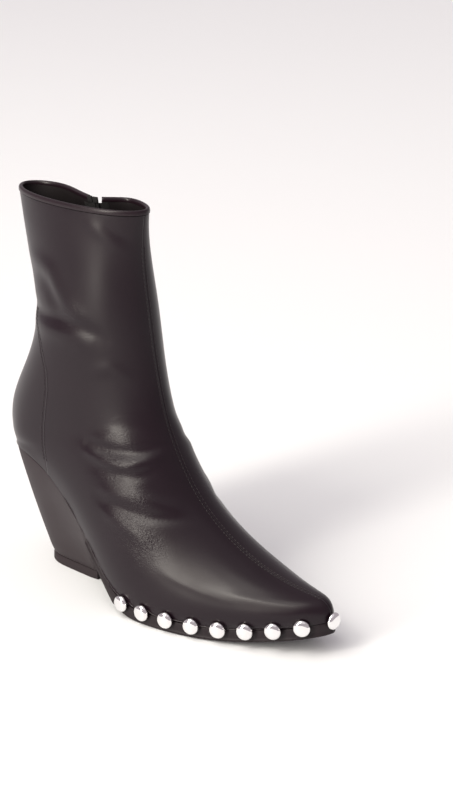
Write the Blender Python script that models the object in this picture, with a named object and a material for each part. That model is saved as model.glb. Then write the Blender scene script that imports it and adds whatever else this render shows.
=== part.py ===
"""Western ankle boot for the right foot, with a zip on the inner side and studs round the toe.

Metres, +Z up. The toe points along +X, the outer (lateral) side of the foot is -Y and the floor is z = 0.
The origin is the centre of the heel's tread. Lengths along the boot are counted from its back and
moved to that origin by HEEL_SETBACK.
"""
import math

import bmesh
import bpy
import numpy as np
from mathutils import Matrix, Vector

# Main sizes of the boot
BOOT_LENGTH = 0.250
BOOT_HEIGHT = 0.2365
HEEL_SEAT = 0.077
INSTEP_RISE = 0.1045
BALL_WIDTH = 0.080
HEEL_WIDTH = 0.061
ANKLE_WIDTH = 0.056
COLLAR_WIDTH = 0.041
TOE_SPRING = 0.013
TOE_SWING = 0.008
HEEL_SETBACK = 0.055
WALL = 0.0018
FIT_GAP = 0.0003

# Sole, insole and heel
SOLE_EDGE = 0.0082
WAIST_EDGE = 0.0035
SOLE_LIP = 0.0009
INSOLE = 0.0022
TREAD_BACK = 0.132
TREAD_FRONT = 0.178
BREAST = 0.092
SEAT_BACK = 0.0045
SEAT_ROUND = 0.030
TOE_ROUND = 0.0155
HEEL_TREAD_LENGTH = 0.052
HEEL_TREAD_WIDTH = 0.035
HEEL_TREAD_ROUND = 0.018
HEEL_BELLY = 0.0008
HEEL_EDGE_ROUND = 0.0005
LIFT = 0.0055

# Collar binding
BINDING_HEIGHT = 0.0030
BINDING_STEP = 0.0005

# Zip on the inner side
ZIP_TOP_X = 0.067
ZIP_SLANT = 0.045
ZIP_SLIT = 0.009
ZIP_CHAIN = 0.0034
ZIP_CHAIN_DEPTH = 0.0004
ZIP_CHAIN_THICK = 0.0015
ZIP_TAPE_DEPTH = 0.0008
ZIP_TAPE_THICK = 0.0008
DENT_DEPTH = 0.0165
DENT_DROP = 0.050
DENT_BEHIND = 0.034
DENT_AHEAD = 0.012

# Slider and pull
SLIDER_DROP = 0.0085
SLIDER_LENGTH = 0.0085
SLIDER_WIDTH = 0.0070
SLIDER_THICK = 0.0022
BRIDGE_WIDTH = 0.0016
BRIDGE_POST = 0.0010
BRIDGE_HOLE = 0.0032
BRIDGE_TOP = 0.0010
PULL_BAR = 0.0012
PULL_WINDOW = 0.0038
PULL_LENGTH = 0.0180
PULL_WIDTH = 0.0046
PULL_END_WIDTH = 0.0056

# Studs
STUD_RADIUS = 0.0051
STUD_HEIGHT = 0.0027
STUD_FIRST = 0.0180
STUD_PITCH = 0.0168
STUDS_A_SIDE = 8
STUD_SIDES = 12

# Fineness of the faceted skin
LATERAL_COLUMNS = 16
FRONT_OF_ZIP_COLUMNS = 8
BEHIND_ZIP_COLUMNS = 7
FOOT_ROWS = 25
SHAFT_ROWS = 18
TURN_WEIGHT = 0.016
IRON_PASSES = 6
IRON_MARGIN = 4
IRON_START = 4

# Side of the feather line behind the tread: along as a share of BOOT_LENGTH, rise as a share of the
# height from the sole's edge to the heel seat
FEATHER_RISE = [
    # along, rise
    (0.000, 1.000),
    (0.088, 1.004),
    (0.124, 0.995),
    (0.164, 0.957),
    (0.212, 0.893),
    (0.248, 0.814),
    (0.300, 0.679),
    (0.336, 0.564),
    (0.376, 0.421),
    (0.404, 0.314),
    (0.432, 0.207),
    (0.464, 0.100),
    (0.496, 0.028),
    (0.528, 0.000),
]

# Plan of the feather line between the round of the heel and the round of the toe: along as a share
# of BOOT_LENGTH, half widths as shares of the width that heel and ball lend to that place
FEATHER_PLAN = [
    # along, lateral, medial
    (0.136, 0.500, 0.490),
    (0.240, 0.500, 0.480),
    (0.340, 0.490, 0.438),
    (0.420, 0.490, 0.415),
    (0.500, 0.500, 0.437),
    (0.572, 0.494, 0.469),
    (0.660, 0.452, 0.467),
    (0.760, 0.365, 0.378),
    (0.860, 0.260, 0.248),
    (0.938, 0.166, 0.140),
]

# Sections that fan round the foot, from the toe to the back of the heel seat. base is a share of the
# way from the seat's back to the round of the toe, front a share of BOOT_LENGTH, rise a share of
# INSTEP_RISE above the feather line. lateral and medial are shares of the width lent by heel and
# ball, belly is the height of the widest place as a share of the section, and crown shapes the roof
# from pointed (1) to boxy (3)
FOOT = [
    # base, front, rise, lateral, medial, belly, crown
    (1.000, 1.000, 0.000, 0.167, 0.141, 0.02, 1.00),
    (0.991, 0.997, 0.052, 0.180, 0.153, 0.05, 1.30),
    (0.976, 0.986, 0.100, 0.200, 0.173, 0.08, 1.70),
    (0.946, 0.962, 0.143, 0.238, 0.212, 0.12, 2.10),
    (0.885, 0.896, 0.198, 0.308, 0.290, 0.16, 2.30),
    (0.816, 0.816, 0.278, 0.372, 0.388, 0.18, 2.20),
    (0.746, 0.744, 0.360, 0.433, 0.444, 0.20, 1.90),
    (0.677, 0.680, 0.450, 0.482, 0.479, 0.20, 1.65),
    (0.603, 0.624, 0.560, 0.516, 0.480, 0.20, 1.60),
    (0.529, 0.590, 0.655, 0.524, 0.464, 0.22, 1.70),
    (0.451, 0.566, 0.745, 0.526, 0.473, 0.24, 1.80),
    (0.373, 0.549, 0.825, 0.530, 0.487, 0.26, 2.05),
    (0.286, 0.534, 0.885, 0.535, 0.510, 0.27, 2.40),
    (0.191, 0.523, 0.940, 0.538, 0.515, 0.26, 2.65),
    (0.095, 0.516, 0.975, 0.534, 0.518, 0.245, 2.80),
    (0.049, 0.512, 1.001, 0.530, 0.515, 0.235, 2.90),
    (0.021, 0.509, 1.025, 0.528, 0.514, 0.23, 2.95),
    (0.005, 0.506, 1.048, 0.526, 0.512, 0.23, 3.00),
    (0.000, 0.504, 1.070, 0.524, 0.511, 0.24, 3.00),
]

# Sections of the shaft, from just above the heel seat to the top of the leather. The rises are
# shares of the height from the heel seat, or from the throat, to the top, back and front are
# shares of BOOT_LENGTH, lateral and medial are shares of the width lent by heel, ankle and collar
SHAFT = [
    # rise behind, back, rise in front, front, lateral, medial, belly, crown
    (0.045, 0.004, 0.024, 0.500, 0.519, 0.508, 0.26, 3.00),
    (0.098, -0.014, 0.055, 0.496, 0.516, 0.506, 0.30, 2.90),
    (0.170, -0.016, 0.107, 0.490, 0.513, 0.504, 0.34, 2.70),
    (0.262, 0.024, 0.190, 0.481, 0.510, 0.502, 0.38, 2.45),
    (0.340, 0.060, 0.283, 0.472, 0.506, 0.501, 0.42, 2.20),
    (0.417, 0.085, 0.375, 0.467, 0.503, 0.500, 0.45, 2.05),
    (0.500, 0.104, 0.468, 0.462, 0.500, 0.500, 0.47, 2.00),
    (0.571, 0.107, 0.550, 0.456, 0.500, 0.500, 0.48, 2.00),
    (0.643, 0.095, 0.626, 0.449, 0.500, 0.500, 0.48, 2.00),
    (0.720, 0.078, 0.714, 0.445, 0.500, 0.500, 0.48, 2.05),
    (0.803, 0.061, 0.800, 0.442, 0.505, 0.495, 0.48, 2.10),
    (0.885, 0.047, 0.886, 0.440, 0.512, 0.488, 0.48, 2.15),
    (0.956, 0.039, 0.950, 0.443, 0.520, 0.480, 0.48, 2.20),
    (1.016, 0.029, 1.000, 0.451, 0.525, 0.480, 0.48, 2.20),
]
ANKLE_AT = 0.57
SEAT_ROW = len(FOOT) - 1
COLLAR_ROW = len(FOOT) + len(SHAFT) - 1
ZIP_FOOT_ROW = 14.25

LEATHER_TOP = BOOT_HEIGHT - BINDING_HEIGHT - FIT_GAP


def smooth(knots, values, at):
    """Read a smooth curve through the values at the knots."""
    knots = np.asarray(knots, float)
    values = np.asarray(values, float)
    at = np.asarray(at, float)
    slopes = np.gradient(values, knots, axis=0)
    i = np.clip(np.searchsorted(knots, at, side="right") - 1, 0, len(knots) - 2)
    step = knots[i + 1] - knots[i]
    u = np.clip((at - knots[i]) / step, 0.0, 1.0)
    if values.ndim > 1:
        u = u[..., None]
        step = step[..., None]
    start = (1 + 2 * u) * (1 - u) ** 2 * values[i] + u * (1 - u) ** 2 * step * slopes[i]
    end = u * u * (3 - 2 * u) * values[i + 1] + u * u * (u - 1) * step * slopes[i + 1]
    return start + end


def ease(x):
    """Go from 0 to 1 without a corner at either end."""
    x = np.clip(x, 0.0, 1.0)
    return x * x * (3 - 2 * x)


def ground(x):
    """Height of the sole's underside from the tread forward."""
    beyond = np.clip((x - TREAD_FRONT) / (BOOT_LENGTH - TREAD_FRONT), 0.0, None)
    return TOE_SPRING * beyond ** 1.7


def feather(x):
    """Height of the feather line, where upper and sole meet."""
    table = np.array(FEATHER_RISE)
    scale = TREAD_BACK / table[-1, 0]
    rise = smooth(table[:, 0] * scale, table[:, 1], np.minimum(x, TREAD_BACK))
    return ground(x) + SOLE_EDGE + rise * (HEEL_SEAT - SOLE_EDGE)


def underside(x):
    """Height of the sole's underside, tread and waist."""
    thin = ease((TREAD_BACK - x) / (TREAD_BACK - BREAST))
    thickness = SOLE_EDGE + (WAIST_EDGE - SOLE_EDGE) * thin
    return feather(x) - thickness


def midline(x):
    """Swing of the boot's centre line towards the big toe."""
    swing_start = 0.6 * BOOT_LENGTH
    beyond = np.clip((x - swing_start) / (BOOT_LENGTH - swing_start), 0.0, None)
    return TOE_SWING * beyond ** 1.5


def lent_width(x):
    """Width that heel and ball lend to a place along the foot."""
    start = SEAT_BACK + SEAT_ROUND
    return HEEL_WIDTH + (BALL_WIDTH - HEEL_WIDTH) * ease((x - start) / (TREAD_BACK - start))


def half_width(x, side):
    """Half width of the feather line's plan, side 0 lateral or 1 medial."""
    x = np.asarray(x, float)
    table = np.array(FEATHER_PLAN)
    heel_end = SEAT_BACK + SEAT_ROUND
    toe_start = BOOT_LENGTH - TOE_ROUND
    knots = heel_end + (table[:, 0] - table[0, 0]) * (toe_start - heel_end) / (table[-1, 0] - table[0, 0])
    inner = np.clip(x, heel_end, toe_start)
    width = smooth(knots, table[:, 1 + side], inner) * lent_width(inner)
    heel_part = np.clip((heel_end - x) / SEAT_ROUND, 0.0, 1.0)
    toe_part = np.clip((BOOT_LENGTH - x) / TOE_ROUND, 0.0, 1.0)
    return width * np.sqrt(1 - heel_part ** 2) * np.sqrt(toe_part)


def all_sections():
    """Turn both tables into one list of sections in metres."""
    rows = []
    for base, front, rise, lateral, medial, belly, crown in FOOT:
        base_x = SEAT_BACK + base * (BOOT_LENGTH - TOE_ROUND - SEAT_BACK)
        front_x = front * BOOT_LENGTH
        width = lent_width(base_x)
        front_z = feather(front_x) + rise * INSTEP_RISE
        rows.append((base_x, feather(base_x), front_x, front_z, lateral * width, medial * width, belly, crown))
    throat = rows[-1][3]
    ankle = HEEL_SEAT + ANKLE_AT * (LEATHER_TOP - HEEL_SEAT)
    for rise_behind, back, rise_in_front, front, lateral, medial, belly, crown in SHAFT:
        back_z = HEEL_SEAT + rise_behind * (LEATHER_TOP - HEEL_SEAT)
        front_z = throat + rise_in_front * (LEATHER_TOP - throat)
        width = smooth([HEEL_SEAT, ankle, LEATHER_TOP], [HEEL_WIDTH, ANKLE_WIDTH, COLLAR_WIDTH], back_z)
        rows.append(
            (back * BOOT_LENGTH, back_z, front * BOOT_LENGTH, front_z, lateral * width, medial * width, belly, crown)
        )
    return np.array(rows, float)


SECTIONS = all_sections()


ROWS = np.concatenate([np.linspace(0, SEAT_ROW, FOOT_ROWS + 1)[:-1], np.linspace(SEAT_ROW, COLLAR_ROW, SHAFT_ROWS + 1)])


def edge_stations():
    """Places along the boot where the upper's rows meet the feather line, from heel to toe."""
    bases = smooth(range(len(SECTIONS)), SECTIONS, ROWS[ROWS <= SEAT_ROW])[:, 0]
    return bases[::-1]


EDGE_STATIONS = edge_stations()


def feather_edge(x):
    """The feather line as the faceted upper has it, so that what seats on it keeps its gap."""
    toe = [BOOT_LENGTH - TOE_ROUND * (1 - u) ** 2 for u in (0.25, 0.5, 0.75, 1.0)]
    places = np.concatenate([EDGE_STATIONS, toe])
    return np.interp(x, places, feather(places))


def section(t, side):
    """Points of one half section, from the front centre line to the feather line or the back seam."""
    base_x, base_z, front_x, front_z, lateral, medial, belly, crown = smooth(range(len(SECTIONS)), SECTIONS, t)
    widest = medial if side else lateral
    foot_width = 0.0
    if t < SEAT_ROW:
        base_z = feather(base_x)
        foot_width = float(half_width(base_x, side))
    height = math.hypot(front_x - base_x, front_z - base_z)
    start = math.acos(min(1.0, foot_width / widest))
    lower = np.linspace(start, 0.0, 40)
    lower_h = belly * height * (1 - np.sin(lower) / max(math.sin(start), 1e-6))
    upper = np.linspace(0.0, math.pi / 2, 70)[1:]
    upper_h = height * (belly + (1 - belly) * np.sin(upper) ** (2 / crown))
    h = np.concatenate([lower_h, upper_h])
    half = np.concatenate([widest * np.cos(lower), widest * np.cos(upper)])
    along = np.array([front_x - base_x, front_z - base_z]) / height
    x = base_x + along[0] * h
    z = base_z + along[1] * h
    if side:
        half = half - dent(x, z) * np.clip(half / widest, 0.0, 1.0)
    y = midline(x) + half * (1 if side else -1)
    return np.stack([x, y, z], axis=1)[::-1]


def dent(x, z):
    """How far the inner wall is pushed in beside the zip, fading down the shaft."""
    spread = np.where(x < ZIP_TOP_X, DENT_BEHIND, DENT_AHEAD)
    drop = (LEATHER_TOP - z) / DENT_DROP
    return DENT_DEPTH * np.exp(-((x - ZIP_TOP_X) / spread) ** 2) * np.exp(-drop * drop)


def lengths(points):
    """Running length along a line of points."""
    steps = np.linalg.norm(np.diff(points, axis=0), axis=1)
    return np.concatenate([[0.0], np.cumsum(steps)])


def read_at(points, places):
    """Points at the given running lengths."""
    run = lengths(points)
    return np.stack([np.interp(places, run, points[:, k]) for k in range(3)], axis=1)


def spread(points, start, end, count):
    """Running lengths from start to end, closer together where the line turns."""
    run = lengths(points)
    steps = np.diff(points, axis=0)
    steps = steps / np.maximum(np.linalg.norm(steps, axis=1)[:, None], 1e-12)
    bend = np.clip((steps[1:] * steps[:-1]).sum(axis=1), -1.0, 1.0)
    turn = np.concatenate([[0.0, 0.0], np.cumsum(np.arccos(bend))])
    weight = run + TURN_WEIGHT * turn
    ends = np.interp([start, end], run, weight)
    return np.interp(np.linspace(ends[0], ends[1], count + 1), weight, run)


def zip_place(t):
    """Running length of the zip's middle along the inner half section, and half the slit there."""
    points = section(max(t, ZIP_FOOT_ROW), 1)
    run = lengths(points)
    target = ZIP_TOP_X + ZIP_SLANT * (LEATHER_TOP - points[:, 2])
    share = float(np.interp(0.0, target - points[:, 0], run)) / run[-1]
    whole = lengths(section(t, 1))[-1]
    return share * whole, min(ZIP_SLIT / 2, 0.06 * whole)


def skin_row(t):
    """One row of the skin's grid, from the lateral edge over the front to the medial edge."""
    outer = section(t, 0)
    left = read_at(outer, spread(outer, 0.0, lengths(outer)[-1], LATERAL_COLUMNS))
    inner = section(t, 1)
    middle, half_slit = zip_place(t)
    ahead = spread(inner, 0.0, middle - half_slit, FRONT_OF_ZIP_COLUMNS)
    behind = spread(inner, middle + half_slit, lengths(inner)[-1], BEHIND_ZIP_COLUMNS)
    right = read_at(inner, np.concatenate([ahead, behind]))
    return np.concatenate([left[::-1], right[1:]])


def skin_grid():
    """All rows of the skin, ironed behind the toe and less so towards its edges and the zip slit."""
    grid = np.array([skin_row(t) for t in ROWS])
    slit = LATERAL_COLUMNS + FRONT_OF_ZIP_COLUMNS
    column = np.arange(grid.shape[1])
    to_edge = np.minimum(column, column[-1] - column)
    to_slit = np.minimum(abs(column - slit), abs(column - slit - 1))
    free = ease((ROWS[1:-1, None] - IRON_START) / IRON_MARGIN) * ease(np.minimum(to_edge / IRON_MARGIN, to_slit))
    for _ in range(IRON_PASSES):
        between = (grid[:-2] + grid[2:]) / 2
        grid[1:-1] += 0.5 * free[..., None] * (between - grid[1:-1])
    return grid


def to_world(points):
    """Move points counted from the boot's back to the centre of the heel's tread."""
    points = np.array(points, float)
    points[..., 0] -= HEEL_SETBACK
    return points


def make_material(name, color, roughness, metallic=0.0):
    material = bpy.data.materials.new(name)
    material.use_nodes = True
    shader = material.node_tree.nodes["Principled BSDF"]
    shader.inputs["Base Color"].default_value = (*color, 1.0)
    shader.inputs["Roughness"].default_value = roughness
    shader.inputs["Metallic"].default_value = metallic
    material.diffuse_color = (*color, 1.0)
    return material


def make_object(name, bm, material):
    """Weld and finish a mesh, shade it smooth up to its edges and link it as one named piece."""
    bmesh.ops.remove_doubles(bm, verts=bm.verts, dist=1e-6)
    bmesh.ops.recalc_face_normals(bm, faces=bm.faces)
    mesh = bpy.data.meshes.new(name)
    bm.to_mesh(mesh)
    bm.free()
    mesh.materials.append(material)
    mesh.shade_smooth()
    mesh.set_sharp_from_angle(angle=math.radians(40))
    piece = bpy.data.objects.new(name, mesh)
    bpy.context.scene.collection.objects.link(piece)
    return piece


def grid_faces(bm, rows, closed_round=False):
    """Join rows of vertices by quads."""
    last = len(rows[0]) if closed_round else len(rows[0]) - 1
    for low, high in zip(rows[:-1], rows[1:]):
        for j in range(last):
            k = (j + 1) % len(low)
            bm.faces.new((low[j], low[k], high[k], high[j]))


def stacked_solid(name, layers, material):
    """Close a stack of outlines, each a lateral line and a medial line with as many points."""
    bm = bmesh.new()
    rings = []
    for left, right in layers:
        loop = list(to_world(left)) + list(to_world(right))[::-1]
        rings.append([bm.verts.new(point) for point in loop])
    grid_faces(bm, rings, closed_round=True)
    count = len(layers[0][0])
    for ring in (rings[0], rings[-1]):
        for i in range(count - 1):
            bm.faces.new((ring[i], ring[i + 1], ring[2 * count - 2 - i], ring[2 * count - 1 - i]))
    return make_object(name, bm, material)


def tube_solid(name, rings, material):
    """Close a row of rings with a face at each end."""
    bm = bmesh.new()
    verts = [[bm.verts.new(point) for point in ring] for ring in rings]
    grid_faces(bm, verts, closed_round=True)
    bm.faces.new(verts[0])
    bm.faces.new(verts[-1])
    return make_object(name, bm, material)


def plan_stations(start, end):
    """Places along the boot for an outline: the upper's own, then the round of the toe."""
    within = [x for x in EDGE_STATIONS if start + FIT_GAP < x < end - FIT_GAP]
    stations = [start, *within, end]
    if end > BOOT_LENGTH - TOE_ROUND:
        stations[-1:] = [BOOT_LENGTH - TOE_ROUND * (1 - u) ** 2 for u in (0.25, 0.5, 0.75, 1.0)]
    return np.array(stations)


def plan_outline(stations, grow):
    """Lateral and medial lines of the feather plan, grown outward by a distance."""
    lines = []
    for side, sign in ((0, -1), (1, 1)):
        line = np.stack([stations, midline(stations) + sign * half_width(stations, side)], axis=1)
        tangent = np.gradient(line, axis=0)
        tangent /= np.linalg.norm(tangent, axis=1)[:, None]
        normal = np.stack([-sign * tangent[:, 1], sign * tangent[:, 0]], axis=1)
        if half_width(stations[0], side) < 1e-9:
            normal[0] = (-1, 0)
        if half_width(stations[-1], side) < 1e-9:
            normal[-1] = (1, 0)
        lines.append(line + normal * grow)
    return lines


def with_height(line, heights):
    return np.column_stack([line, heights])


def give_wall(bm, edge_directions):
    """Close a skin into a wall inward; edges named with a direction keep their rim square to it."""
    bm.normal_update()
    skin = list(bm.verts)
    faces = list(bm.faces)
    borders = [edge for edge in bm.edges if edge.is_boundary]
    inside = {}
    for vert in skin:
        inward = -vert.normal
        if vert in edge_directions:
            up = edge_directions[vert]
            inward = (inward - up * inward.dot(up)).normalized()
        inside[vert] = bm.verts.new(vert.co + inward * WALL)
    for face in faces:
        bm.faces.new([inside[vert] for vert in reversed(face.verts)])
    for edge in borders:
        one, two = edge.verts
        bm.faces.new((one, two, inside[two], inside[one]))


def make_upper(material):
    """The hollow upper: one skin given its wall inward, open at collar, zip slit and underneath."""
    bm = bmesh.new()
    rows = []
    edge_directions = {}
    for t, points in zip(ROWS, to_world(skin_grid())):
        row = [bm.verts.new(point) for point in points[:-1]]
        row.append(row[0] if t >= SEAT_ROW else bm.verts.new(points[-1]))
        for vert in row if t in (0, COLLAR_ROW) else (row[0], row[-1]) if t <= SEAT_ROW else ():
            x = vert.co.x + HEEL_SETBACK
            slope = 0.0 if t == COLLAR_ROW else float(feather(x + 0.001) - feather(x - 0.001)) / 0.002
            edge_directions[vert] = Vector((-slope, 0.0, 1.0)).normalized()
        rows.append(row)
    slit_column = LATERAL_COLUMNS + FRONT_OF_ZIP_COLUMNS
    for t, low, high in zip(ROWS[:-1], rows[:-1], rows[1:]):
        for j in range(len(low) - 1):
            if j == slit_column and t >= ZIP_FOOT_ROW:
                continue
            bm.faces.new((low[j], low[j + 1], high[j + 1], high[j]))
    give_wall(bm, edge_directions)
    return make_object("upper", bm, material)


def make_outsole(material):
    """Forefoot and waist of the sole, with a covered edge and a low lip over the tread."""
    stations = plan_stations(BREAST + FIT_GAP, BOOT_LENGTH)
    top = feather_edge(stations) - FIT_GAP
    bottom = underside(stations)
    depth = top - bottom
    edge = [
        # growth of the outline, height above the underside as a share of the edge
        (-0.1 * SOLE_LIP, 1.0),
        (0.4 * SOLE_LIP, 0.82),
        (0.5 * SOLE_LIP, 0.34),
        (SOLE_LIP, 0.22),
        (SOLE_LIP, 0.08),
        (-0.2 * SOLE_LIP, 0.0),
    ]
    layers = []
    for grow, share in edge:
        left, right = plan_outline(stations, grow)
        heights = bottom + depth * share
        layers.append((with_height(left, heights), with_height(right, heights)))
    return stacked_solid("outsole", layers, material)


def make_insole(material):
    """The board and sock that close the upper from inside."""
    stations = plan_stations(SEAT_BACK, BOOT_LENGTH)
    layers = []
    for lift in (0.0, INSOLE):
        lines = plan_outline(stations, -(WALL + 2 * FIT_GAP + 1.3 * lift))
        layers.append([with_height(line, feather_edge(line[:, 0]) + lift) for line in lines])
    return stacked_solid("insole", layers, material)


def heel_tread_line(shares, side, grow):
    """Lateral or medial line of the heel's small end, from its round back to the breast."""
    start = HEEL_SETBACK - HEEL_TREAD_LENGTH / 2
    turn = HEEL_TREAD_ROUND / HEEL_TREAD_LENGTH
    line = []
    for share in shares:
        back_part = max(0.0, 1 - share / turn)
        half = HEEL_TREAD_WIDTH / 2 * math.sqrt(1 - back_part ** 2)
        outward = np.array([-back_part, math.sqrt(1 - back_part ** 2)])
        x = start + share * HEEL_TREAD_LENGTH + grow * outward[0]
        y = half + grow * outward[1]
        line.append((x, y if side else -y))
    return np.array(line)


def tread_shares(stations):
    """Share of the heel's small end that each station of the big end runs down to."""
    heel_end = SEAT_BACK + SEAT_ROUND
    turn = HEEL_TREAD_ROUND / HEEL_TREAD_LENGTH
    in_round = (stations - SEAT_BACK) / SEAT_ROUND * turn
    past = turn + (stations - heel_end) / (BREAST - heel_end) * (1 - turn)
    return np.where(stations < heel_end, in_round, past)


def make_heel(material):
    """The tall covered block: its top follows the heel seat, its back leans forward to the lift."""
    stations = plan_stations(SEAT_BACK, BREAST)
    shares = tread_shares(stations)
    foot = LIFT + FIT_GAP
    layers = []
    for down in (0.0, 0.04, 0.25, 0.5, 0.75, 1.0):
        grow = HEEL_BELLY * math.sin(math.pi * down) - (HEEL_EDGE_ROUND if down == 0.0 else 0.0)
        lines = []
        for side in (0, 1):
            big = with_height(plan_outline(stations, grow)[side], feather_edge(stations) - FIT_GAP)
            small = with_height(heel_tread_line(shares, side, grow), np.full(len(stations), foot))
            lines.append(big + (small - big) * down)
        layers.append(lines)
    return stacked_solid("heel", layers, material)


def make_heel_top_piece(material):
    """The rubber lift under the heel."""
    shares = tread_shares(plan_stations(SEAT_BACK, BREAST))
    layers = []
    for height, grow in ((LIFT, -0.0001), (0.12 * LIFT, 0.0001), (0.0, -0.0004)):
        lines = [heel_tread_line(shares, side, grow) for side in (0, 1)]
        layers.append([with_height(line, np.full(len(line), height)) for line in lines])
    return stacked_solid("heel_top_piece", layers, material)


def skin_frame(t, run):
    """Point on the inner half of the skin with its directions down, backward and outward."""
    step = 0.0005
    row_step = -0.02
    points = section(t, 1)
    here = read_at(points, [run])[0]
    behind = read_at(points, [run + step])[0]
    lower = section(t + row_step, 1)
    below = read_at(lower, [run / lengths(points)[-1] * lengths(lower)[-1]])[0]
    backward = (behind - here) / np.linalg.norm(behind - here)
    outward = np.cross(below - here, backward)
    outward /= np.linalg.norm(outward)
    down = np.cross(backward, outward)
    return here, down, backward, outward


def make_binding(material):
    """The rolled edge that tops the leather, from one side of the zip slit to the other."""
    row = skin_row(COLLAR_ROW)
    slit = LATERAL_COLUMNS + FRONT_OF_ZIP_COLUMNS
    path = np.concatenate([row[slit + 1:], row[1:slit + 1]])
    tangent = np.gradient(path, axis=0)
    tangent[:, 2] = 0
    tangent /= np.linalg.norm(tangent, axis=1)[:, None]
    outward = np.stack([-tangent[:, 1], tangent[:, 0], np.zeros(len(path))], axis=1)
    if (outward * (path - path.mean(axis=0))).sum() < 0:
        outward = -outward
    inner = -(WALL + BINDING_STEP)
    middle = -WALL / 2
    profile = [
        # outward from the skin, height above the leather as a share
        (BINDING_STEP, 0.0),
        (BINDING_STEP, 0.72),
        (0.5 * (BINDING_STEP + middle), 0.94),
        (middle, 1.0),
        (0.5 * (inner + middle), 0.94),
        (inner, 0.72),
        (inner, 0.1),
    ]
    rings = []
    for point, side in zip(to_world(path), outward):
        ring = []
        for out, share in profile:
            height = point[2] + FIT_GAP + share * BINDING_HEIGHT
            ring.append((point[0] + side[0] * out, point[1] + side[1] * out, height))
        rings.append(ring)
    return tube_solid("collar_binding", rings, material)


def zip_strip(name, from_middle, to_middle, depth, thickness, material):
    """A strip that lies in the zip slit, between two distances from the zip's middle."""
    rings = []
    for t in np.linspace(ZIP_FOOT_ROW + 0.85, COLLAR_ROW - 0.02, 26):
        middle = zip_place(t)[0]
        ring = []
        for offset, sink in (
            (from_middle, depth),
            (to_middle, depth),
            (to_middle, depth + thickness),
            (from_middle, depth + thickness),
        ):
            here, down, backward, outward = skin_frame(t, middle)
            point = here + backward * offset - outward * sink
            ring.append(to_world(point))
        rings.append(ring)
    return tube_solid(name, rings, material)


def make_zip(cloth, metal):
    """Tapes and chain in the slit."""
    reach = ZIP_SLIT / 2 - FIT_GAP
    inside = ZIP_CHAIN / 2 + FIT_GAP
    zip_strip("zip_tape_front", -reach, -inside, ZIP_TAPE_DEPTH, ZIP_TAPE_THICK, cloth)
    zip_strip("zip_tape_back", inside, reach, ZIP_TAPE_DEPTH, ZIP_TAPE_THICK, cloth)
    zip_strip("zip_chain", -ZIP_CHAIN / 2, ZIP_CHAIN / 2, ZIP_CHAIN_DEPTH, ZIP_CHAIN_THICK, metal)


def slider_frame():
    """Place of the slider: its middle on the skin, with down, backward and outward."""
    rows = np.linspace(ZIP_FOOT_ROW, COLLAR_ROW, 120)
    heights = []
    for t in rows:
        heights.append(read_at(section(t, 1), [zip_place(t)[0]])[0][2])
    t = float(np.interp(LEATHER_TOP - SLIDER_DROP, heights, rows))
    here, down, backward, outward = skin_frame(t, zip_place(t)[0])
    return Matrix(
        (
            (down[0], backward[0], outward[0], here[0] - HEEL_SETBACK),
            (down[1], backward[1], outward[1], here[1]),
            (down[2], backward[2], outward[2], here[2]),
            (0, 0, 0, 1),
        )
    )


def add_block(bm, low, high):
    """Add a box between two corners."""
    size = Vector(high) - Vector(low)
    middle = (Vector(high) + Vector(low)) / 2
    place = Matrix.Translation(middle) @ Matrix.Diagonal((*size, 1.0))
    bmesh.ops.create_cube(bm, size=1.0, matrix=place)


def outline_prism(bm, outline, low, high):
    """Raise a flat outline, given in down and backward, between two heights."""
    rings = [[bm.verts.new((x, y, z)) for x, y in outline] for z in (low, high)]
    grid_faces(bm, rings, closed_round=True)
    bm.faces.new(rings[0])
    bm.faces.new(rings[1])


def make_slider(place, material):
    """The slider plate with a bridge over the pull's crossbar."""
    half_hole = BRIDGE_HOLE / 2
    post_end = half_hole + BRIDGE_POST
    side = BRIDGE_WIDTH / 2
    hole_top = SLIDER_THICK + 2 * FIT_GAP + PULL_BAR
    arch_top = hole_top + BRIDGE_TOP
    profile = [
        (-post_end, 0.5 * SLIDER_THICK),
        (post_end, 0.5 * SLIDER_THICK),
        (post_end, arch_top - 0.4 * BRIDGE_TOP),
        (post_end - 0.4 * BRIDGE_TOP, arch_top),
        (-post_end + 0.4 * BRIDGE_TOP, arch_top),
        (-post_end, arch_top - 0.4 * BRIDGE_TOP),
    ]
    bm = bmesh.new()
    rings = [[bm.verts.new((x, y, z)) for x, z in profile] for y in (-side, side)]
    grid_faces(bm, rings, closed_round=True)
    bm.faces.new(rings[0])
    bm.faces.new(rings[1])
    bridge = make_object("bridge_form", bm, material)
    bm = bmesh.new()
    half = SLIDER_LENGTH / 2
    wide = SLIDER_WIDTH / 2
    narrow = 0.62 * wide
    plate = [
        (-half, -0.8 * wide),
        (-0.7 * half, -wide),
        (0.1 * half, -wide),
        (half, -narrow),
        (half, narrow),
        (0.1 * half, wide),
        (-0.7 * half, wide),
        (-half, 0.8 * wide),
    ]
    outline_prism(bm, plate, 0.0, SLIDER_THICK)
    slider = make_object("zip_slider", bm, material)
    bm = bmesh.new()
    add_block(bm, (-half_hole, -wide, SLIDER_THICK), (half_hole, wide, hole_top))
    hole = make_object("bridge_hole", bm, material)
    for cutter in (bridge, hole):
        cutter.hide_render = True
        cutter.display_type = "WIRE"
        cutter.matrix_world = place
    slider.matrix_world = place
    for operation, other in (("UNION", bridge), ("DIFFERENCE", hole)):
        change = slider.modifiers.new(operation.lower(), "BOOLEAN")
        change.operation = operation
        change.object = other
    return slider


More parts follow.
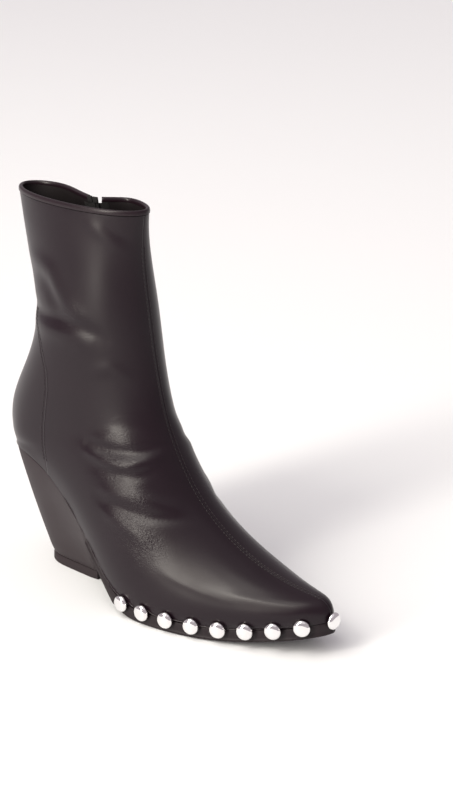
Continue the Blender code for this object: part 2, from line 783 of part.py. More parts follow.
def make_pull(place, material):
    """The pull tab on its crossbar; its own origin is the crossbar's axis."""
    bar = PULL_BAR / 2
    shoulder = PULL_WIDTH / 2
    tip = PULL_END_WIDTH / 2
    tip_round = [
        (PULL_LENGTH - tip + tip * math.cos(a), tip * math.sin(a)) for a in np.linspace(-math.pi / 2, math.pi / 2, 7)
    ]
    bm = bmesh.new()
    outline_prism(bm, [(0.0, -shoulder), (PULL_WINDOW, -shoulder), *tip_round, (PULL_WINDOW, shoulder), (0.0, shoulder)],
                  -bar, bar)
    pull = make_object("zip_pull", bm, material)
    bm = bmesh.new()
    across = Matrix.Rotation(math.pi / 2, 4, "X")
    bmesh.ops.create_cone(bm, cap_ends=True, segments=12, radius1=bar, radius2=bar, depth=PULL_WIDTH, matrix=across)
    crossbar = make_object("crossbar_form", bm, material)
    bm = bmesh.new()
    window_half = BRIDGE_WIDTH / 2 + FIT_GAP
    add_block(bm, (bar, -window_half, -PULL_BAR), (PULL_WINDOW, window_half, PULL_BAR))
    window = make_object("window_form", bm, material)
    pull.matrix_world = place
    for name, operation, other in (("crossbar", "UNION", crossbar), ("window", "DIFFERENCE", window)):
        other.hide_render = True
        other.display_type = "WIRE"
        other.matrix_world = place
        change = pull.modifiers.new(name, "BOOLEAN")
        change.operation = operation
        change.object = other
    return pull


def make_studs(material):
    """Round studs on the feather line, counted from the tip along both sides."""
    bm = bmesh.new()
    profile = [
        # radius and height as shares of the stud
        (1.0, 0.0),
        (1.0, 0.22),
        (0.84, 0.62),
        (0.58, 0.86),
        (0.28, 0.97),
    ]
    rings = []
    for radius, height in profile:
        ring = []
        for k in range(STUD_SIDES):
            angle = 2 * math.pi * k / STUD_SIDES
            r = radius * STUD_RADIUS
            ring.append(bm.verts.new((r * math.cos(angle), r * math.sin(angle), height * STUD_HEIGHT)))
        rings.append(ring)
    grid_faces(bm, rings, closed_round=True)
    bm.faces.new(rings[0])
    top = bm.verts.new((0, 0, STUD_HEIGHT))
    for k in range(STUD_SIDES):
        bm.faces.new((rings[-1][k], rings[-1][(k + 1) % STUD_SIDES], top))
    first = make_object("stud_tip", bm, material)
    cloud = to_world(np.concatenate([section(t, side) for t in np.arange(0, 12, 0.1) for side in (0, 1)]))
    fine = BOOT_LENGTH - (BOOT_LENGTH - BREAST) * np.linspace(0, 1, 600) ** 2
    for side, label in ((0, "lateral"), (1, "medial")):
        line = with_height(plan_outline(fine, 0.0)[side], feather(fine))
        for number in range(STUDS_A_SIDE + 1):
            if number == 0 and side == 1:
                continue
            place = STUD_FIRST + (number - 1) * STUD_PITCH if number else 0.0
            centre = to_world(read_at(line, [place]))[0]
            nearby = to_world(read_at(line, [max(0.0, place - 0.002), place + 0.002]))
            along = nearby[1] - nearby[0]
            facing = np.array([along[1], -along[0], 0.0]) if side else np.array([-along[1], along[0], 0.0])
            if number == 0:
                facing = np.array([1.0, 0.0, 0.0])
            facing /= np.linalg.norm(facing)
            close = np.linalg.norm(cloud - centre, axis=1) < 1.1 * STUD_RADIUS
            stand = max(((cloud[close] - centre) @ facing).max(), 0.6 * SOLE_LIP)
            centre = centre + facing * (stand + FIT_GAP)
            stud = first if number == 0 else bpy.data.objects.new(f"stud_{label}_{number}", first.data)
            if number:
                bpy.context.scene.collection.objects.link(stud)
            stud.matrix_world = Matrix.Translation(centre) @ Vector(facing).to_track_quat("Z", "Y").to_matrix().to_4x4()


def build():
    for old in list(bpy.data.objects):
        bpy.data.objects.remove(old, do_unlink=True)
    leather = make_material("black_leather", (0.012, 0.010, 0.011), 0.28)
    binding = make_material("binding_leather", (0.014, 0.012, 0.013), 0.35)
    sole_cover = make_material("sole_cover", (0.010, 0.009, 0.009), 0.45)
    sock = make_material("insole_sock", (0.020, 0.018, 0.018), 0.8)
    heel_cover = make_material("heel_cover", (0.015, 0.013, 0.013), 0.6)
    rubber = make_material("lift_rubber", (0.010, 0.010, 0.010), 0.75)
    tape = make_material("zip_cloth", (0.012, 0.012, 0.012), 0.9)
    teeth = make_material("zip_teeth", (0.020, 0.020, 0.020), 0.4)
    zip_metal = make_material("zip_metal", (0.030, 0.030, 0.030), 0.35, 1.0)
    pull_metal = make_material("pull_metal", (0.032, 0.032, 0.032), 0.35, 1.0)
    chrome = make_material("stud_chrome", (0.72, 0.72, 0.74), 0.12, 1.0)
    make_upper(leather)
    make_outsole(sole_cover)
    make_insole(sock)
    make_heel(heel_cover)
    make_heel_top_piece(rubber)
    make_binding(binding)
    make_zip(tape, teeth)
    place = slider_frame()
    make_slider(place, zip_metal)
    axis = place @ Matrix.Translation((0, 0, SLIDER_THICK + FIT_GAP + PULL_BAR / 2))
    make_pull(axis, pull_metal)
    make_studs(chrome)


build()
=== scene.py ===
# %% [markdown]
# # A western ankle boot in black leather
# This lesson dresses a finished solid model of a boot: a pointed upper with a zip on its inner side, a
# slanted block heel and a row of round studs along the edge of the sole. The solids give every size and
# place. Each step says what the piece is on a real boot and why it is made in this way.

# %% [markdown]
# ## The frame
# The frame holds the solids, one object for each part. They are never moved.

# %% Load the frame
import math

import bpy
import numpy as np
from mathutils import Matrix, Vector
from mathutils.bvhtree import BVHTree


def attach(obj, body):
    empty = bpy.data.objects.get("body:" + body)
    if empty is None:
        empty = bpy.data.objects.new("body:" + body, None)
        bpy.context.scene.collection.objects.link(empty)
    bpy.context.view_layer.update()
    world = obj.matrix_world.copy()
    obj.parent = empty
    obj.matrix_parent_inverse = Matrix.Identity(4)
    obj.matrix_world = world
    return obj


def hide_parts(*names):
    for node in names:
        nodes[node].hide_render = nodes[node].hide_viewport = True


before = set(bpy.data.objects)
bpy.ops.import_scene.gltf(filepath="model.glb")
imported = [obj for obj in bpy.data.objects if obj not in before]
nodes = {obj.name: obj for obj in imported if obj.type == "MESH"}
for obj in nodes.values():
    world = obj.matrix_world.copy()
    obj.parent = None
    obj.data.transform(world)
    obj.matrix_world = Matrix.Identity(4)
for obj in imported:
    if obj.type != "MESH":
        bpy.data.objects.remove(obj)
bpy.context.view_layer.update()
scene = bpy.context.scene
MM = 0.001
print("loaded", len(nodes), "parts of the boot")

# %% [markdown]
# ## Tools for the bench
# An operator works on whatever is selected, so one helper deselects everything and picks one piece. A second
# copies a solid's mesh and merges its loose triangles, a third adds a modifier and applies it at once, and a
# last one gives a finished piece its materials and its body and hides the solids that it stands for.

# %% Helpers for picking, copying and finishing
def pick(piece):
    """Select one piece alone and make it the active one."""
    bpy.ops.object.select_all(action="DESELECT")
    piece.select_set(True)
    bpy.context.view_layer.objects.active = piece


def take_copy(node, name):
    """Copy a solid's mesh into a new piece whose corners are merged."""
    piece = bpy.data.objects.new(name, nodes[node].data.copy())
    scene.collection.objects.link(piece)
    piece.data.materials.clear()
    pick(piece)
    bpy.ops.object.mode_set(mode="EDIT")
    bpy.ops.mesh.select_all(action="SELECT")
    bpy.ops.mesh.remove_doubles(threshold=0.001 * MM)
    bpy.ops.mesh.customdata_custom_splitnormals_clear()
    bpy.ops.object.mode_set(mode="OBJECT")
    return piece


def work(piece, kind, **settings):
    """Add a modifier to a piece, set it and apply it."""
    pick(piece)
    tool = piece.modifiers.new(kind.lower(), kind)
    for key, value in settings.items():
        setattr(tool, key, value)
    bpy.ops.object.modifier_apply(modifier=tool.name)


def read_points(piece):
    """All corners of a piece as an array."""
    flat = np.empty(len(piece.data.vertices) * 3)
    piece.data.vertices.foreach_get("co", flat)
    return flat.reshape(-1, 3)


def read_normals(piece):
    """The normal at each corner of a piece."""
    flat = np.empty(len(piece.data.vertices) * 3)
    piece.data.vertices.foreach_get("normal", flat)
    return flat.reshape(-1, 3)


def write_points(piece, points):
    piece.data.vertices.foreach_set("co", np.asarray(points, float).ravel())
    piece.data.update()


def shade(piece, angle=40):
    """Shade a piece smooth, apart from edges sharper than an angle in degrees."""
    pick(piece)
    bpy.ops.object.shade_smooth_by_angle(angle=math.radians(angle))


def finish_piece(piece, body, replaced, materials):
    """Give a piece its materials and its body, and hide the solids that it stands for."""
    for material in materials:
        piece.data.materials.append(material)
    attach(piece, body)
    if replaced:
        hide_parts(*replaced)
    print(piece.name, "has", len(piece.data.polygons), "faces")


# %% [markdown]
# ## Camera
# The photograph looks down on the boot from the front of its outer side. The camera turns round a point near
# the ankle: an azimuth, an elevation, a distance and a slight roll place it, and the lens gives the scale.

# %% Camera at the photograph's angle
VIEW_AZIMUTH = math.radians(43.69)
VIEW_ELEVATION = math.radians(19.19)
VIEW_ROLL = math.radians(-0.28)
VIEW_DISTANCE = 0.9338
VIEW_POINT = Vector((0.1212, 0.0, 0.1369))
FRAME_HEIGHT = 36.0
LENS = 74.45

sight = Vector(
    (
        math.sin(VIEW_AZIMUTH) * math.cos(VIEW_ELEVATION),
        -math.cos(VIEW_AZIMUTH) * math.cos(VIEW_ELEVATION),
        math.sin(VIEW_ELEVATION),
    )
)
camera_data = bpy.data.cameras.new("camera")
camera_data.sensor_fit = "VERTICAL"
camera_data.sensor_height = FRAME_HEIGHT
camera_data.lens = LENS
camera_data.clip_start = 0.01
camera_data.clip_end = 50.0
camera = bpy.data.objects.new("camera", camera_data)
scene.collection.objects.link(camera)
turn = sight.to_track_quat("Z", "Y").to_matrix().to_4x4()
camera_place = Matrix.Translation(VIEW_POINT + sight * VIEW_DISTANCE)
camera.matrix_world = camera_place @ turn @ Matrix.Rotation(VIEW_ROLL, 4, "Z")
scene.camera = camera
print("camera at", [round(v, 3) for v in camera.matrix_world.translation])

# %% [markdown]
# ## Floor and light
# The boot stands on a plain pale floor in a dim, faintly rosy room. Black leather shows little but
# reflections, so the room stays dimmer than the floor. A tall soft box stands off the outer side and draws
# the long highlight from the instep to the toe, and two broad far lamps high above whiten the floor. The
# colours are shown as they are, without a film look.

# %% Floor, room and lamps
FLOOR_SIZE = 14.0
ROOM_COLOR = (1.0, 0.90, 0.95)
ROOM_LIGHT = 0.46

scene.view_settings.view_transform = "Standard"


def plain_material(name, color, roughness):
    """A material with one colour and one roughness."""
    material = bpy.data.materials.new(name)
    material.use_nodes = True
    shader = material.node_tree.nodes["Principled BSDF"]
    shader.inputs["Base Color"].default_value = (*color, 1.0)
    shader.inputs["Roughness"].default_value = roughness
    return material


bpy.ops.object.select_all(action="DESELECT")
bpy.ops.mesh.primitive_plane_add(size=FLOOR_SIZE, location=(0.0, 0.0, 0.0))
floor = bpy.context.object
floor.name = "floor"
floor.data.materials.append(plain_material("floor_paper", (0.885, 0.905, 0.915), 0.7))

room = bpy.data.worlds.new("room")
room.use_nodes = True
room.node_tree.nodes["Background"].inputs["Color"].default_value = (*ROOM_COLOR, 1.0)
room.node_tree.nodes["Background"].inputs["Strength"].default_value = ROOM_LIGHT
scene.world = room


def hang_lamp(name, azimuth, elevation, spread, strength, color):
    """Hang a far round lamp; its spread is the angle that it covers, seen from the boot."""
    a = math.radians(azimuth)
    e = math.radians(elevation)
    away = Vector((math.sin(a) * math.cos(e), -math.cos(a) * math.cos(e), math.sin(e)))
    data = bpy.data.lights.new(name, "SUN")
    data.angle = math.radians(spread)
    data.energy = strength
    data.color = color
    lamp = bpy.data.objects.new(name, data)
    scene.collection.objects.link(lamp)
    turned = away.to_track_quat("Z", "Y").to_matrix().to_4x4()
    lamp.matrix_world = Matrix.Translation(away * LAMP_AWAY) @ turned


SOFT_BOX_FROM = math.radians(-7.0)
SOFT_BOX_AWAY = 3.2
SOFT_BOX_WIDTH = 0.65
SOFT_BOX_LOW = 0.15
SOFT_BOX_HIGH = 3.6
SOFT_BOX_WATTS = 140.0
SOFT_BOX_AIM = Vector((0.08, 0.0, 0.06))
LAMP_AWAY = 2.0


def stand_soft_box():
    """Stand a tall soft box on the outer side, facing the boot."""
    data = bpy.data.lights.new("soft_box", "AREA")
    data.shape = "RECTANGLE"
    data.size = SOFT_BOX_WIDTH
    data.size_y = SOFT_BOX_HIGH - SOFT_BOX_LOW
    data.energy = SOFT_BOX_WATTS
    data.color = (1.0, 0.95, 0.86)
    box = bpy.data.objects.new("soft_box", data)
    scene.collection.objects.link(box)
    middle = (SOFT_BOX_LOW + SOFT_BOX_HIGH) / 2
    away = Vector((math.sin(SOFT_BOX_FROM), -math.cos(SOFT_BOX_FROM), 0.0)) * SOFT_BOX_AWAY
    place = away + Vector((SOFT_BOX_AIM.x, 0.0, middle))
    turned = (place - SOFT_BOX_AIM).to_track_quat("Z", "Y").to_matrix().to_4x4()
    box.matrix_world = Matrix.Translation(place) @ turned


hang_lamp("lamp_high", -29.0, 63.0, 40.0, 1.10, (1.0, 0.96, 0.88))
hang_lamp("lamp_over", 20.0, 78.0, 70.0, 0.35, (1.0, 0.98, 1.0))
stand_soft_box()
print("hung", len(bpy.data.lights), "lamps")

# %% [markdown]
# ## Shared surface effects
# Grain, grooves, wrinkles and weave serve more than one line or finish, so each is a node group, built once.
# A group puts out heights and masks only, and the shader itself stays in each material. The larger a scale
# is, the finer is its pattern.

# %% Node groups for grain, groove, weave and wrinkles
PEBBLE_SCALE = 1150.0
CREASE_SCALE = 420.0
CREASE_SHARE = 0.9
TONE_SCALE = 26.0
WRINKLE_SCALE = 330.0
WRINKLE_STRETCH = (1.0, 1.6, 2.2)
WRINKLE_TWIST = 1.6


def new_group(name, inputs, outputs):
    """Start a node group with named number or vector sockets."""
    group = bpy.data.node_groups.new(name, "ShaderNodeTree")
    for label, kind in inputs:
        group.interface.new_socket(name=label, in_out="INPUT", socket_type=kind)
    for label in outputs:
        group.interface.new_socket(name=label, in_out="OUTPUT", socket_type="NodeSocketFloat")
    return group, group.nodes.new("NodeGroupInput"), group.nodes.new("NodeGroupOutput")


def math_node(tree, operation, first, second=None):
    """One step of arithmetic; each value is a number or a socket."""
    node = tree.nodes.new("ShaderNodeMath")
    node.operation = operation
    for socket, value in zip(node.inputs, (first, second)):
        if value is None:
            continue
        if isinstance(value, (int, float)):
            socket.default_value = value
        else:
            tree.links.new(value, socket)
    return node.outputs[0]


def noise_node(tree, vector, scale, detail=3.0):
    node = tree.nodes.new("ShaderNodeTexNoise")
    node.inputs["Scale"].default_value = scale
    node.inputs["Detail"].default_value = detail
    tree.links.new(vector, node.inputs["Vector"])
    return node.outputs["Fac"]


def make_grain_group():
    """Fine pebbles with wider, softer creases between them."""
    group, entry, leave = new_group(
        "leather_grain", [("Vector", "NodeSocketVector")], ["Height", "Variation"]
    )
    vector = entry.outputs["Vector"]
    pebble = group.nodes.new("ShaderNodeTexVoronoi")
    pebble.feature = "SMOOTH_F1"
    pebble.inputs["Scale"].default_value = PEBBLE_SCALE
    group.links.new(vector, pebble.inputs["Vector"])
    crease = math_node(group, "MULTIPLY", noise_node(group, vector, CREASE_SCALE, 4.0), CREASE_SHARE)
    height = math_node(group, "ADD", pebble.outputs["Distance"], crease)
    group.links.new(height, leave.inputs["Height"])
    group.links.new(noise_node(group, vector, TONE_SCALE, 5.0), leave.inputs["Variation"])
    return group


def make_groove_group():
    """A soft groove along a line, from the distance to that line."""
    group, entry, leave = new_group(
        "seam_groove", [("Distance", "NodeSocketFloat"), ("Width", "NodeSocketFloat")], ["Height"]
    )
    share = math_node(group, "DIVIDE", entry.outputs["Distance"], entry.outputs["Width"])
    square = math_node(group, "MULTIPLY", share, share)
    fall = math_node(group, "EXPONENT", math_node(group, "MULTIPLY", square, -1.0))
    group.links.new(math_node(group, "MULTIPLY", fall, -1.0), leave.inputs["Height"])
    return group


def make_weave_group():
    """Threads over and under, from two crossed sets of waves."""
    group, entry, leave = new_group(
        "woven_threads", [("Vector", "NodeSocketVector"), ("Threads", "NodeSocketFloat")], ["Height"]
    )
    split = group.nodes.new("ShaderNodeSeparateXYZ")
    group.links.new(entry.outputs["Vector"], split.inputs[0])
    across = math_node(group, "ADD", split.outputs["X"], split.outputs["Y"])
    threads = entry.outputs["Threads"]
    warp = math_node(group, "SINE", math_node(group, "MULTIPLY", across, threads))
    weft = math_node(group, "SINE", math_node(group, "MULTIPLY", split.outputs["Z"], threads))
    group.links.new(math_node(group, "MULTIPLY", warp, weft), leave.inputs["Height"])
    return group


def make_wrinkle_group():
    """Short fine creases, where a mask says that the leather flexes."""
    group, entry, leave = new_group(
        "flex_wrinkles", [("Vector", "NodeSocketVector"), ("Mask", "NodeSocketFloat")], ["Height"]
    )
    stretch = group.nodes.new("ShaderNodeMapping")
    stretch.inputs["Scale"].default_value = WRINKLE_STRETCH
    group.links.new(entry.outputs["Vector"], stretch.inputs["Vector"])
    noise = group.nodes.new("ShaderNodeTexNoise")
    noise.inputs["Scale"].default_value = WRINKLE_SCALE
    noise.inputs["Detail"].default_value = 5.0
    noise.inputs["Distortion"].default_value = WRINKLE_TWIST
    group.links.new(stretch.outputs["Vector"], noise.inputs["Vector"])
    height = math_node(group, "MULTIPLY", noise.outputs["Fac"], entry.outputs["Mask"])
    group.links.new(height, leave.inputs["Height"])
    return group


GRAIN = make_grain_group()
WRINKLES = make_wrinkle_group()
GROOVE = make_groove_group()
WEAVE = make_weave_group()
print("groups:", [group.name for group in (GRAIN, WRINKLES, GROOVE, WEAVE)])

# %% [markdown]
# ## Leather, cloth, rubber and metal
# The boot is smooth box leather: nearly black with a faint plum cast, glossy, with a fine grain that only
# shows in the highlights. The heel cover is a little lighter and duller. The lining is matt, the zip tape is
# woven, and the studs are polished chrome.

# %% Finishes
NOISE_LOW = 0.3
NOISE_HIGH = 0.7


def add_group(tree, group, **values):
    """Place a group in a material; each value is a number or a socket."""
    node = tree.nodes.new("ShaderNodeGroup")
    node.node_tree = group
    for label, value in values.items():
        if isinstance(value, (int, float)):
            node.inputs[label].default_value = value
        else:
            tree.links.new(value, node.inputs[label])
    return node


def object_vector(tree):
    return tree.nodes.new("ShaderNodeTexCoord").outputs["Object"]


def read_attribute(tree, name):
    node = tree.nodes.new("ShaderNodeAttribute")
    node.attribute_name = name
    return node.outputs["Fac"]


def add_bump(tree, shader, height, distance, strength=1.0, under=None):
    """Bump from a height; one bump can sit on top of another."""
    bump = tree.nodes.new("ShaderNodeBump")
    bump.inputs["Strength"].default_value = strength
    bump.inputs["Distance"].default_value = distance
    tree.links.new(height, bump.inputs["Height"])
    if under is not None:
        tree.links.new(under, bump.inputs["Normal"])
    tree.links.new(bump.outputs["Normal"], shader.inputs["Normal"])
    return bump.outputs["Normal"]


def map_value(tree, value, low, high):
    """Carry a noise, which mostly lies between two values, over to a range."""
    node = tree.nodes.new("ShaderNodeMapRange")
    node.inputs["From Min"].default_value = NOISE_LOW
    node.inputs["From Max"].default_value = NOISE_HIGH
    node.inputs["To Min"].default_value = low
    node.inputs["To Max"].default_value = high
    tree.links.new(value, node.inputs["Value"])
    return node.outputs["Result"]


def blend_colors(tree, mask, first, second):
    node = tree.nodes.new("ShaderNodeMix")
    node.data_type = "RGBA"
    tree.links.new(mask, node.inputs["Factor"])
    node.inputs[6].default_value = (*first, 1.0)
    node.inputs[7].default_value = (*second, 1.0)
    return node.outputs[2]


LEATHER_IOR = 1.35
CLOTH_ROUGHNESS = 0.85
METAL_SCALE = 700.0


def leather_material(name, dark, light, smooth, rough, grain_depth, seams=(), flex=0.0):
    """Leather with grain, a slightly uneven gloss, grooves along named lines, and wrinkles."""
    material = plain_material(name, dark, smooth)
    tree = material.node_tree
    shader = tree.nodes["Principled BSDF"]
    shader.inputs["IOR"].default_value = LEATHER_IOR
    grain = add_group(tree, GRAIN, Vector=object_vector(tree))
    variation = grain.outputs["Variation"]
    tree.links.new(blend_colors(tree, variation, dark, light), shader.inputs["Base Color"])
    tree.links.new(map_value(tree, variation, smooth, rough), shader.inputs["Roughness"])
    normal = add_bump(tree, shader, grain.outputs["Height"], grain_depth)
    for line, width, depth in seams:
        groove = add_group(tree, GROOVE, Distance=read_attribute(tree, line), Width=width)
        normal = add_bump(tree, shader, groove.outputs["Height"], depth, under=normal)
    if flex:
        wrinkles = add_group(tree, WRINKLES, Vector=object_vector(tree), Mask=read_attribute(tree, "flex"))
        add_bump(tree, shader, wrinkles.outputs["Height"], flex, under=normal)
    return material


def cloth_material(name, color, threads, depth):
    """Matt woven cloth."""
    material = plain_material(name, color, CLOTH_ROUGHNESS)
    tree = material.node_tree
    weave = add_group(tree, WEAVE, Vector=object_vector(tree), Threads=threads)
    add_bump(tree, tree.nodes["Principled BSDF"], weave.outputs["Height"], depth)
    return material


def metal_material(name, color, smooth, rough):
    """Metal whose polish varies a little."""
    material = plain_material(name, color, smooth)
    tree = material.node_tree
    shader = tree.nodes["Principled BSDF"]
    shader.inputs["Metallic"].default_value = 1.0
    noise = noise_node(tree, object_vector(tree), METAL_SCALE)
    tree.links.new(map_value(tree, noise, smooth, rough), shader.inputs["Roughness"])
    return material


SEAM_WIDTH = 0.40 * MM
SEAM_DEPTH = 0.30 * MM
COUNTER_DEPTH = 0.12 * MM
FLEX_DEPTH = 0.30 * MM
upper_leather = leather_material(
    "black_leather",
    (0.0075, 0.0030, 0.0058),
    (0.0110, 0.0050, 0.0085),
    0.27,
    0.37,
    0.006 * MM,
    [("front_line", SEAM_WIDTH, SEAM_DEPTH), ("counter_line", SEAM_WIDTH, COUNTER_DEPTH)],
    FLEX_DEPTH,
)
edge_leather = leather_material(
    "edge_leather", (0.0110, 0.0050, 0.0080), (0.0160, 0.0085, 0.0120), 0.26, 0.36, 0.010 * MM
)
cover_leather = leather_material(
    "cover_leather", (0.0095, 0.0050, 0.0070), (0.0140, 0.0085, 0.0105), 0.40, 0.52, 0.012 * MM
)
heel_leather = leather_material(
    "heel_leather", (0.0200, 0.0125, 0.0150), (0.0260, 0.0175, 0.0200), 0.48, 0.60, 0.010 * MM
)
lining_leather = leather_material(
    "lining_leather", (0.0080, 0.0055, 0.0062), (0.0120, 0.0088, 0.0096), 0.55, 0.68, 0.020 * MM
)
rubber = leather_material(
    "lift_rubber", (0.0190, 0.0125, 0.0148), (0.0240, 0.0172, 0.0195), 0.60, 0.74, 0.015 * MM
)
tape_cloth = cloth_material("zip_cloth", (0.0085, 0.0075, 0.0080), 7000.0, 0.08 * MM)
sock_cloth = cloth_material("sock_cloth", (0.016, 0.013, 0.014), 5000.0, 0.10 * MM)
thread = plain_material("black_thread", (0.014, 0.009, 0.011), 0.42)
teeth_plastic = metal_material("zip_teeth", (0.040, 0.038, 0.040), 0.26, 0.38)
zip_metal = metal_material("zip_metal", (0.085, 0.080, 0.082), 0.20, 0.32)
chrome = metal_material("stud_chrome", (0.86, 0.85, 0.85), 0.06, 0.11)
print("mixed", len(bpy.data.materials), "finishes")

# %% [markdown]
# ## The upper's skin
# The upper is leather pulled over a last. The solid is faceted, so its copy is turned back into four-sided
# faces and subdivided: that gives one smooth skin with enough points for the folds. Its rims are creased
# first, so that they stay crisp.

# %% Smooth copy of the upper
RIM_ANGLE = math.radians(50)
RIM_CREASE = 0.9
QUAD_ANGLE = math.radians(60)
QUAD_SKEW = math.radians(100)


def to_fine_skin(piece, rim_angle, levels):
    """Turn a faceted copy into quads, keep its sharp rims and subdivide it."""
    pick(piece)
    bpy.ops.object.mode_set(mode="EDIT")
    bpy.ops.mesh.select_all(action="SELECT")
    bpy.ops.mesh.tris_convert_to_quads(face_threshold=QUAD_ANGLE, shape_threshold=QUAD_SKEW)
    bpy.ops.mesh.select_all(action="DESELECT")
    bpy.ops.mesh.select_mode(type="EDGE")
    bpy.ops.mesh.edges_select_sharp(sharpness=rim_angle)
    bpy.ops.transform.edge_crease(value=RIM_CREASE)
    bpy.ops.object.mode_set(mode="OBJECT")
    work(piece, "SUBSURF", levels=levels, render_levels=levels)


upper = take_copy("upper", "upper_leather")
to_fine_skin(upper, RIM_ANGLE, 2)
print("upper skin has", len(upper.data.vertices), "points")

# %% [markdown]
# ## Which side is out
# The wall has an outer and an inner skin. A line through the middle of the boot tells them apart: where a
# normal points away from that line, the skin is on the outside. The folds then push both skins the same way,
# and the inner faces can take the lining.

# %% Outer and inner skin
HEART_LINE = [
    # x, y, z in millimetres
    (8, -8, 240),
    (10, -5, 200),
    (16, 0, 150),
    (12, 0, 105),
    (35, 0, 78),
    (66, 0, 45),
    (95, 1, 26),
    (130, 3, 22),
    (165, 6, 26),
    (186, 8, 28),
]


def path_points(corners, step=1.0 * MM):
    """Points spaced evenly along a line of corners."""
    corners = np.asarray(corners, float)
    run = np.concatenate([[0.0], np.cumsum(np.linalg.norm(np.diff(corners, axis=0), axis=1))])
    places = np.linspace(0.0, run[-1], max(2, int(run[-1] / step) + 1))
    return np.stack([np.interp(places, run, corners[:, k]) for k in range(corners.shape[1])], axis=1)


def nearest(points, line):
    """Distance from each point to a line of points, and the index of the nearest one."""
    best = np.full(len(points), 1e9)
    index = np.zeros(len(points), int)
    for k, place in enumerate(line):
        distance = np.linalg.norm(points - place, axis=1)
        closer = distance < best
        best[closer] = distance[closer]
        index[closer] = k
    return best, index


heart = path_points(np.array(HEART_LINE) * MM, 4 * MM)


def faces_out(points, normals):
    """True where a normal points away from the middle of the boot."""
    index = nearest(points, heart)[1]
    return ((points - heart[index]) * normals).sum(axis=1) > 0


skin_points = read_points(upper)
skin_normals = read_normals(upper)
is_outer = faces_out(skin_points, skin_normals)
outward = skin_normals * np.where(is_outer, 1.0, -1.0)[:, None]
print("outer points", int(is_outer.sum()), "inner points", int((~is_outer).sum()))

# %% [markdown]
# ## Folds of wear
# Leather creases where the boot bends: across the instep, round the ankle and down the slack back of the
# shaft. Each fold is a soft ridge or trough along a short line, drawn on the side of the boot in millimetres.
# The line is thrown onto the skin, and the points near it move in or out, less and less with distance.

# %% Table of folds
FOLDS = [
    # side, depth, width, line of (x, z)
    (-1, -1.1, 3.6, [(-26, 172), (-8, 168.5), (7, 169), (18, 168.5), (29, 167), (39, 164), (48, 158)]),
    (-1, 1.0, 5.0, [(-24, 163), (-6, 160), (10, 160), (24, 159), (38, 154)]),
    (-1, 1.0, 5.0, [(-27, 201), (-9, 199), (2, 196), (9, 188), (15, 182), (22, 177), (31, 170)]),
    (-1, -0.8, 5.0, [(-25, 190), (-8, 189), (0, 185), (7, 178), (13, 172)]),
    (-1, 0.6, 4.0, [(29, 228), (41, 222), (51, 215)]),
    (-1, -0.6, 5.0, [(40, 228), (53, 218)]),
    (-1, 0.5, 4.0, [(36, 141), (48, 144.5), (58, 138)]),
    (-1, 0.25, 4.0, [(38, 98), (51, 105.5), (64, 106)]),
    (-1, -1.5, 3.2, [(32, 98), (48, 96.5), (60, 96.5), (70, 98), (79, 101)]),
    (-1, 1.5, 3.2, [(34, 93), (54, 89.5), (67, 89.5), (75, 92), (80, 96)]),
    (-1, -0.9, 3.0, [(40, 86), (60, 83.5), (72, 84), (80, 87)]),
    (-1, 1.2, 3.2, [(50, 73.5), (67, 73.5), (77, 73), (86, 71), (97, 68)]),
    (-1, -1.6, 2.8, [(48, 67), (64, 66), (75, 64.5), (85, 63.5), (95, 63.5), (104, 63)]),
    (-1, 1.0, 4.5, [(56, 62), (68, 58), (80, 54), (92, 49)]),
    (-1, 0.6, 3.0, [(100, 37), (112, 33.5), (127, 30.5), (143, 29), (157, 29.5), (171, 30), (187, 31.5)]),
    (1, -0.7, 3.6, [(40, 100), (54, 97), (66, 98), (75, 101)]),
    (1, 0.6, 3.8, [(42, 93), (56, 90), (68, 91), (77, 95)]),
    (1, -0.8, 3.2, [(58, 70), (72, 67), (86, 65), (97, 65)]),
    (1, 0.5, 3.6, [(56, 76), (70, 73), (84, 71), (94, 69)]),
    (1, 0.8, 5.0, [(-26, 196), (-8, 193), (2, 186), (6, 176)]),
    (1, -0.9, 4.0, [(-25, 172), (-10, 168), (0, 168), (8, 171)]),
]
CAST_FROM = 0.2
END_FADE = 0.6


def tree_of(piece):
    """A search tree of a piece's faces, for casting rays."""
    return BVHTree.FromPolygons(
        [v.co.copy() for v in piece.data.vertices], [tuple(p.vertices) for p in piece.data.polygons]
    )


def throw_on_side(tree, line, side):
    """Throw a line of (x, z) from one side onto the skin and give places and normals."""
    places = []
    normals = []
    for x, z in line:
        place, normal, _, _ = tree.ray_cast(Vector((x, side * CAST_FROM, z)), Vector((0.0, -side, 0.0)))
        if place is not None:
            places.append(place)
            normals.append(normal)
    return np.array(places), np.array(normals)


def fold_amount(points, line, depth, width):
    """How far each point moves for one fold, fading at both ends of its line."""
    distance, index = nearest(points, line)
    share = (index + 0.5) / len(line)
    fade = np.clip(4 * share * (1 - share), 0.0, 1.0) ** END_FADE
    return depth * fade * np.exp(-((distance / width) ** 2))


skin_tree = tree_of(upper)
moved = np.zeros(len(skin_points))
for side, depth, width, corners in FOLDS:
    line, _ = throw_on_side(skin_tree, path_points(np.array(corners) * MM), side)
    moved += fold_amount(skin_points, line, depth * MM, width * MM)
write_points(upper, skin_points + outward * moved[:, None])
print("folds move the skin by", round(moved.min() / MM, 2), "to", round(moved.max() / MM, 2), "mm")

# %% [markdown]
# ## Seam lines on the skin
# The upper is cut in pieces: two quarters meet in a seam down the front, and a counter wraps the back of the
# heel. The distance to each seam is stored on the skin as an attribute, and the leather reads it to press in
# a groove. The front seam follows the boot's centre line, which swings to the inside at the toe.

